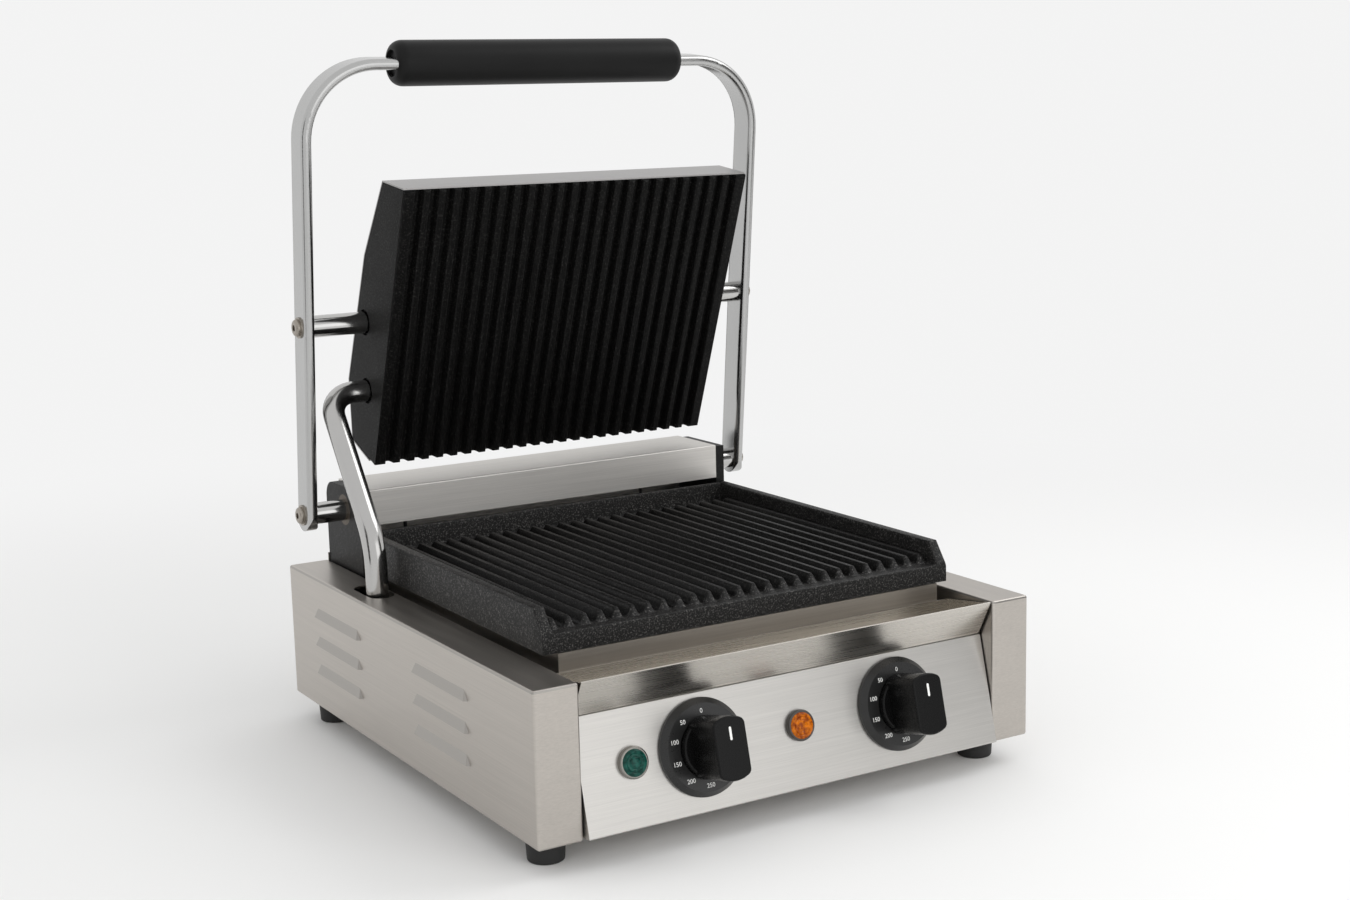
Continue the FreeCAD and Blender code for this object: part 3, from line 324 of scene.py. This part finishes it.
# ---- Drip tray and control panel -----------------------------------------------------------------
# The tray is a loose folded trough in front of the lower plate, and the panel below it leans back: both are
# stainless brushed across the machine, the panel lighter and finer than the boxes.
tray_sheet = brushed("tray_stainless", (0.60, 0.570, 0.525), (9.0, 700.0, 1000.0), 0.27)
panel_sheet = brushed("panel_stainless", (0.60, 0.585, 0.56), (16.0, 1300.0, 1700.0), 0.37)
dress(tray_sheet, "drip_tray")
dress(panel_sheet, "control_panel")

# ---- Hinge posts and cover -----------------------------------------------------------------------
# Black posts of thick plate carry bronze bushes; a folded stainless cover hides the axle and its springs.
black_plate = cast_iron("post_black", 0.007, 0.46, 0.15, 0.16)
bush_bronze = plated("bush_bronze", (0.10, 0.08, 0.06), 0.4)
spring_wire = plated("spring_wire", (0.22, 0.21, 0.20), 0.38)
cover_sheet = brushed("cover_stainless", (0.68, 0.66, 0.63), (16.0, 1100.0, 1400.0), 0.46)
dress(black_plate, "hinge_post_left", "hinge_post_right")
dress(bush_bronze, "hinge_bushes")
dress(spring_wire, "counterbalance_springs")
dress(cover_sheet, "hinge_cover")
dress(zinc, "post_bolts", "cover_screws", "cover_nuts", "spring_collars")


# ---- Handle --------------------------------------------------------------------------------------
# A flat-oval bar of polished steel bent to a U, its round-ended arms screwed to the axle and to the rods
# that the upper plate tips on.
def polished(name, colour, rough, wear=0.05):
    """Polished steel with hairlines and the faintest cloud of handling."""
    finish = Finish(name, Metallic=1.0)
    lines = finish.noise((120.0, 120.0, 22.0), 2.0, 0.6)
    cloud = finish.noise((30.0, 30.0, 30.0), 3.0, 0.6)
    finish.set("Base Color", finish.mix(cloud, tuple(c * 0.9 for c in colour) + (1,), colour + (1,)))
    finish.set("Roughness", lines * wear + cloud * wear + (rough - wear))
    return finish


arm_steel = polished("arm_steel", (0.50, 0.50, 0.495), 0.22, 0.06)
rod_chrome = polished("rod_chrome", (0.56, 0.555, 0.545), 0.14, 0.04)
tube_steel = polished("tube_steel", (0.52, 0.515, 0.505), 0.17, 0.05)
screw_bronze = plated("screw_bronze", (0.40, 0.365, 0.32), 0.36)
dress(arm_steel, "handle_bar")
dress(rod_chrome, "hinge_axle", "pivot_rods")
dress(screw_bronze, "arm_screws", "arm_washers")
dress(zinc, "pivot_clips", "conduit_collar")


# The grip is a moulded roll slid over the cross bar, soft-shouldered at both ends.
def turned(name, stations, radii, centre, along, finish, around=64):
    """A surface of revolution: rings of the given radii at stations along an axis from its centre."""
    axis = Vector(along).normalized()
    one = axis.orthogonal().normalized()
    other = axis.cross(one)
    turn = np.linspace(0, 2 * math.pi, around, endpoint=False)
    ring = np.outer(np.cos(turn), one) + np.outer(np.sin(turn), other)
    points = np.asarray(centre) + np.asarray(stations)[:, None, None] * np.asarray(axis) \
        + np.asarray(radii)[:, None, None] * ring[None]
    rows = len(stations)
    ends = [list(range(around))[::-1], list(range((rows - 1) * around, rows * around))]
    return piece(name, points.reshape(-1, 3), grid_quads(rows, around, True).tolist() + ends, finish)


low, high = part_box("handle_grip")
grip_centre, grip_half, grip_radius = (low + high) / 2, (high.x - low.x) / 2, (high.z - low.z) / 2
turn = np.linspace(0, math.pi / 2, 12)
shoulder = 0.0095
end_x = np.concatenate([[-grip_half + 0.003, -grip_half + 0.0008], -grip_half + shoulder * (1 - np.cos(turn))])
end_r = np.concatenate([[0.0105, 0.0118], grip_radius - shoulder * (1 - np.sin(turn)) * 0.8])
middle_x = np.linspace(-0.8, 0.8, 9) * (grip_half - shoulder)
grip_x = np.concatenate([end_x, middle_x, -end_x[::-1]])
grip_r = np.concatenate([end_r, np.full(9, grip_radius), end_r[::-1]])
grip_plastic = moulded("grip_plastic", (0.008, 0.008, 0.008), 0.42, 1100.0, 0.00006, 0.0, 0.14)
handle_grip = turned("handle_grip_roll", grip_x, grip_r, grip_centre, (1, 0, 0), grip_plastic, 72)
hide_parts("handle_grip")
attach(handle_grip, "handle")


# ---- Upper plate ---------------------------------------------------------------------------------
# The heavier-looking casting that presses down: ribs on its face, high side walls bored for the rods and the
# conduit, and a satin grey cover wrapped over its back and front end.
def eased(name, radius, shortest, finish, body):
    """A CAD casting with its straight edges longer than shortest rounded over by radius."""
    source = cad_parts[name]
    mesh = source.data.copy()
    mesh.name = name + "_rounded"
    work = bmesh.new()
    work.from_mesh(mesh)
    bmesh.ops.remove_doubles(work, verts=work.verts, dist=2e-6)
    bmesh.ops.dissolve_limit(work, angle_limit=math.radians(0.5), verts=work.verts, edges=work.edges)
    weight = work.edges.layers.float.get("bevel_weight_edge") or work.edges.layers.float.new("bevel_weight_edge")
    for edge in work.edges:
        sharp = len(edge.link_faces) == 2 and edge.calc_face_angle() > math.radians(20)
        edge[weight] = 1.0 if sharp and edge.calc_length() > shortest else 0.0
    work.to_mesh(mesh)
    work.free()
    for layer in [a for a in mesh.attributes if a.name == "custom_normal"]:
        mesh.attributes.remove(layer)
    mesh.materials.clear()
    mesh.materials.append(finish.material)
    mesh.polygons.foreach_set("use_smooth", np.ones(len(mesh.polygons), bool))
    mesh.set_sharp_from_angle(angle=math.radians(35))
    made = bpy.data.objects.new(name + "_rounded", mesh)
    bpy.context.scene.collection.objects.link(made)
    rounding = made.modifiers.new("rounding", "BEVEL")
    rounding.limit_method, rounding.width, rounding.segments = "WEIGHT", radius, 3
    rounding.use_clamp_overlap, rounding.harden_normals = False, True
    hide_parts(name)
    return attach(made, body)


upper_iron = cast_iron("upper_plate_iron", 0.0025, 0.50, 0.22, 0.09)
cover_paint = brushed("upper_cover_steel", (0.40, 0.39, 0.385), (14.0, 900.0, 900.0), 0.36)
eased("upper_plate", 0.0010, 0.0035, upper_iron, "upper")
dress(cover_paint, "upper_cover")
dress(zinc, "upper_cover_screws")

# ---- Conduit -------------------------------------------------------------------------------------
# The bent tube that carries the upper plate's wires: out of the plate's left wall, over a knee and down
# through the slot in the left box.
def filleted(corners, radii, steps=14):
    """A line of points through corners, each inner corner rounded to its radius on a true arc."""
    line = [corners[0]]
    for before, corner, after, radius in zip(corners, corners[1:], corners[2:], radii):
        u, w = (before - corner).normalized(), (after - corner).normalized()
        half = u.angle(w) / 2
        middle = corner + (u + w).normalized() * (radius / math.sin(half))
        one, two = corner + u * (radius / math.tan(half)) - middle, corner + w * (radius / math.tan(half)) - middle
        full = one.angle(two)
        line += [middle + (one * math.sin(full * (1 - t)) + two * math.sin(full * t)) / math.sin(full)
                 for t in np.linspace(0, 1, steps)]
    return line + [corners[-1]]


def tube(name, line, radius, finish, around=40):
    """A round tube along a line of points; its rings are carried along without twist."""
    one, rings = None, []
    for k, point in enumerate(line):
        ahead = (line[min(k + 1, len(line) - 1)] - line[max(k - 1, 0)]).normalized()
        one = ahead.orthogonal().normalized() if one is None else (one - ahead * one.dot(ahead)).normalized()
        other = ahead.cross(one)
        turn = np.linspace(0, 2 * math.pi, around, endpoint=False)
        rings.append(np.array(point) + radius * (np.outer(np.cos(turn), one) + np.outer(np.sin(turn), other)))
    ends = [list(range(around))[::-1], list(range((len(line) - 1) * around, len(line) * around))]
    return piece(name, np.concatenate(rings), grid_quads(len(line), around, True).tolist() + ends, finish)


points = np.array([v.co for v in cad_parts["conduit_tube"].data.vertices])
low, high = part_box("conduit_tube")
mouth, foot = points[points[:, 0] > high.x - 0.0001], points[points[:, 2] < low.z + 0.0001]
mouth, foot = (mouth.min(0) + mouth.max(0)) / 2, (foot.min(0) + foot.max(0)) / 2
corners = [Vector(mouth), Vector((foot[0], mouth[1], mouth[2])), Vector((foot[0], foot[1], low.z + 0.048)), Vector(foot)]
conduit = tube("conduit_tube_bent", filleted(corners, (0.022, 0.060)), 0.009, tube_steel)
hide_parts("conduit_tube")
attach(conduit, "conduit")

# ---- Dials, knobs and lamps ----------------------------------------------------------------------
# Glossy black scale rings fixed to the panel, with a turning knob in each; a green lamp shows that the
# machine is live and an amber one that the plates are heating.
dial_black = moulded("dial_black", (0.010, 0.010, 0.010), 0.30, 700.0, 0.00002, 0.15, 0.4)
knob_black = moulded("knob_black", (0.004, 0.004, 0.004), 0.26, 900.0, 0.000015, 0.0, 0.16)
white_ink = moulded("white_ink", (0.80, 0.80, 0.78), 0.5, 1500.0, 0.00001)
dress(dial_black, "dial_ring_left", "dial_ring_right")
dress(knob_black, "knob_left", "knob_right")
dress(zinc, "spindle_left", "spindle_right", "thermostat_nuts")

panel_normal = Vector((0, -0.9701425, 0.2425356))
panel_up = Vector((0, 0.2425356, 0.9701425))


def on_control(name, depth):
    """The place, on a control's axis, of its foremost face less depth, and the turn that faces it outwards."""
    points = np.array([v.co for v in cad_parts[name].data.vertices])
    middle = (points.min(0) + points.max(0)) / 2
    heights = points @ np.array(panel_normal)
    lift = heights.max() - depth - middle @ np.array(panel_normal)
    return Vector(middle) + panel_normal * lift


def printed(name, text, size, place, body):
    """Plain characters printed flat on a control, centred on a place."""
    lettering = bpy.data.curves.new(name, "FONT")
    lettering.body, lettering.size = text, size
    lettering.align_x, lettering.align_y = "CENTER", "CENTER"
    lettering.extrude, lettering.resolution_u = 0.00006, 3
    drawn = bpy.data.objects.new(name + "_drawn", lettering)
    mesh = bpy.data.meshes.new_from_object(drawn)
    bpy.data.objects.remove(drawn)
    turn = Matrix((Vector((1, 0, 0)), panel_up, panel_normal)).transposed().to_4x4()
    mesh.transform(Matrix.Translation(place) @ turn)
    mesh.materials.clear()
    mesh.materials.append(white_ink.material)
    made = bpy.data.objects.new(name, mesh)
    bpy.context.scene.collection.objects.link(made)
    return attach(made, body)


for side in ("left", "right"):
    face = on_control("dial_ring_" + side, 0.0)
    for text, degrees in (("0", 90), ("50", 128), ("100", 162), ("150", 196), ("200", 232), ("250", 268), ("300", 306)):
        angle = math.radians(degrees)
        reach = 0.0262
        place = face + Vector((1, 0, 0)) * reach * math.cos(angle) + panel_up * reach * math.sin(angle)
        printed("mark_%s_%s" % (side, text), text, 0.0046, place + panel_normal * 0.00008, "base")

    # The knob's pointer: a short white bar let into its face, round at both ends.
    top = on_control("knob_" + side, 0.0)
    bend = np.linspace(0, math.pi, 9)
    half_w, reach = 0.0009, 0.0038
    outline = np.concatenate([np.stack([half_w * np.cos(bend), reach + half_w * np.sin(bend)], -1),
                              np.stack([-half_w * np.cos(bend), -reach - half_w * np.sin(bend)], -1)])
    outline[:, 1] += 0.0098
    flat = np.concatenate([np.c_[outline, np.full(len(outline), -0.0003)], np.c_[outline, np.full(len(outline), 0.0002)]])
    basis = np.array([Vector((1, 0, 0)), panel_up, panel_normal])
    n = len(outline)
    i = np.arange(n)
    walls = np.stack([i, (i + 1) % n, (i + 1) % n + n, i + n], -1).tolist()
    pointer = piece("pointer_" + side, flat @ basis + np.array(top), walls + [list(range(n, 2 * n))], white_ink)
    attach(pointer, side + "_knob")


# Lamp lenses: moulded coloured glass-clear plastic, stepped in rings over the neon behind it.
def lens(name, deep, bright, rough):
    """Tinted clear plastic, brighter in random swirls where the neon shows through it."""
    finish = Finish(name, Coat_Weight=0.0, Specular_IOR_Level=0.18)
    swirl = finish.noise((260.0, 260.0, 260.0), 3.0, 0.6)
    finish.set("Base Color", finish.mix(finish.steps(swirl, (0.38, 0.0), (0.66, 1.0)), deep + (1,), bright + (1,)))
    finish.set("Roughness", swirl * 0.12 + rough)
    finish.set("Emission Color", deep + (1,))
    finish.set("Emission Strength", 0.12)
    return finish


green_lens = lens("green_lens", (0.002, 0.026, 0.020), (0.012, 0.085, 0.066), 0.10)
amber_lens = lens("amber_lens", (0.20, 0.035, 0.001), (0.62, 0.17, 0.004), 0.10)
for lamp, finish, slot in (("power_lamp", green_lens, "lens_green"), ("heat_lamp", amber_lens, "lens_amber")):
    face = on_control(lamp + "_lens", 0.0)
    r = 1.1 * np.array([0.0001, 0.0022, 0.0034, 0.0038, 0.0044, 0.0056, 0.0060, 0.0066, 0.0080, 0.0088, 0.0090, 0.0090])
    z = np.array([-0.0006, -0.0007, -0.0009, -0.0013, -0.0009, -0.0010, -0.0015, -0.0011, -0.0014, -0.0022, -0.0030,
                  -0.0048])
    stepped = turned(lamp + "_dome", z[::-1], r[::-1], face, panel_normal, finish, 48)
    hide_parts(lamp + "_lens")
    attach(stepped, "base")
bezel_steel = polished("bezel_steel", (0.26, 0.25, 0.23), 0.24)
bezel_dark = moulded("bezel_dark", (0.05, 0.045, 0.04), 0.35, 700.0, 0.00002, 0.1)
dress(bezel_steel, "power_lamp_bezel")
dress(bezel_dark, "heat_lamp_bezel")

# ---- Electrics -----------------------------------------------------------------------------------
# What the body holds: thermostats, lamp bodies, terminal block and leads, and the cable inlet at the back.
switch_plastic = moulded("switch_plastic", (0.05, 0.05, 0.05), 0.5, 600.0, 0.00003)
block_plastic = moulded("block_plastic", (0.75, 0.74, 0.70), 0.45, 600.0, 0.00003)
gland_plastic = moulded("gland_plastic", (0.022, 0.022, 0.022), 0.48, 700.0, 0.00004)
lead_sleeve = moulded("lead_sleeve", (0.55, 0.53, 0.48), 0.6, 900.0, 0.00004)
dress(switch_plastic, "thermostat_left", "thermostat_right", "lamp_bodies")
dress(block_plastic, "terminal_block")
dress(gland_plastic, "cable_gland", "gland_nut")
dress(lead_sleeve, "internal_wires")

# ---- Studio --------------------------------------------------------------------------------------
# A pale floor that fades into a pale room, soft lamps, and dark cards that give the metal its contrast.
room = (0.90, 0.90, 0.90, 1)
world = bpy.data.worlds.new("room")
bpy.context.scene.world = world
world.use_nodes = True
world.node_tree.nodes["Background"].inputs["Color"].default_value = room
world.node_tree.nodes["Background"].inputs["Strength"].default_value = 1.0

floor_paint = Finish("floor_paint", Roughness=0.6, Specular_IOR_Level=0.15)
floor_paint.set("Base Color", (0.88, 0.88, 0.875, 1))
output = floor_paint.tree.nodes["Material Output"]
glow = floor_paint.node("Emission", {}, {"Color": room, "Strength": 1.0})
away = floor_paint.node("VectorMath", {"operation": "LENGTH"},
                        {0: floor_paint.node("TexCoord", {}, {}, "Object")}, "Value")
fade = floor_paint.node("MapRange", {"interpolation_type": "SMOOTHSTEP"}, {0: away, 1: 0.55, 2: 1.5})
joined = floor_paint.node("MixShader", {}, {0: fade, 1: Value(floor_paint, floor_paint.shader.outputs[0]), 2: glow})
floor_paint.tree.links.new(joined.socket, output.inputs["Surface"])
corner = np.array([[-14, -14, 0], [14, -14, 0], [14, 14, 0], [-14, 14, 0]], float)
floor = piece("studio_floor", corner, np.array([[0, 1, 2, 3]]), floor_paint)

card_black = Finish("card_black", Roughness=1.0, Specular_IOR_Level=0.0)
card_black.set("Base Color", (0.03, 0.028, 0.025, 1))


def card(name, centre, width, height):
    """A dark card that faces the machine and is seen only in its metal."""
    toward = (Vector((0, 0, 0.15)) - Vector(centre)).normalized()
    side = toward.cross(Vector((0, 0, 1))).normalized()
    up = side.cross(toward)
    c, s, u = Vector(centre), side * width / 2, up * height / 2
    made = piece(name, np.array([c - s - u, c + s - u, c + s + u, c - s + u]), np.array([[0, 1, 2, 3]]), card_black)
    made.visible_camera = made.visible_shadow = made.visible_diffuse = False


card("card_right", (1.55, -1.35, 0.55), 0.8, 1.3)
card("card_left", (-1.6, -0.15, 0.40), 0.45, 0.9)
card("card_behind", (0.95, 1.55, 0.20), 3.0, 0.42)


def lamp(name, place, size, power, mirrored=True):
    """A square soft lamp aimed at the machine; not mirrored, its own shape stays out of the metal."""
    light = bpy.data.lights.new(name, "AREA")
    light.size, light.energy = size, power
    made = bpy.data.objects.new(name, light)
    made.location, made.visible_glossy = place, mirrored
    made.rotation_euler = (Vector((0, 0, 0.15)) - Vector(place)).to_track_quat("-Z", "Y").to_euler()
    bpy.context.scene.collection.objects.link(made)


lamp("key", (1.5, -0.6, 1.8), 1.1, 9.0)
lamp("fill", (0.5, -2.1, 0.9), 1.2, 11.0, False)
lamp("front", (0.45, -2.3, 0.60), 1.4, 4.0)

# The camera stands at the machine's front left, a little above its plates.
azimuth, elevation, roll = math.radians(-31.214), math.radians(10.132), math.radians(-1.377)
back = Vector((math.sin(azimuth) * math.cos(elevation), -math.cos(azimuth) * math.cos(elevation), math.sin(elevation)))
right = Vector((math.cos(azimuth), math.sin(azimuth), 0))
up = back.cross(right)
tilted_right = right * math.cos(roll) + up * math.sin(roll)
tilted_up = up * math.cos(roll) - right * math.sin(roll)
lens_data = bpy.data.cameras.new("camera")
lens_data.sensor_fit, lens_data.sensor_width, lens_data.lens = "HORIZONTAL", 36.0, 52.51
lens_data.clip_start, lens_data.clip_end = 0.05, 60.0
camera = bpy.data.objects.new("camera", lens_data)
camera.matrix_world = Matrix.Translation((-0.78045, -1.33477, 0.51712)) \
    @ Matrix((tilted_right, tilted_up, back)).transposed().to_4x4()
bpy.context.scene.collection.objects.link(camera)
bpy.context.scene.camera = camera
bpy.context.scene.view_settings.view_transform = "Standard"
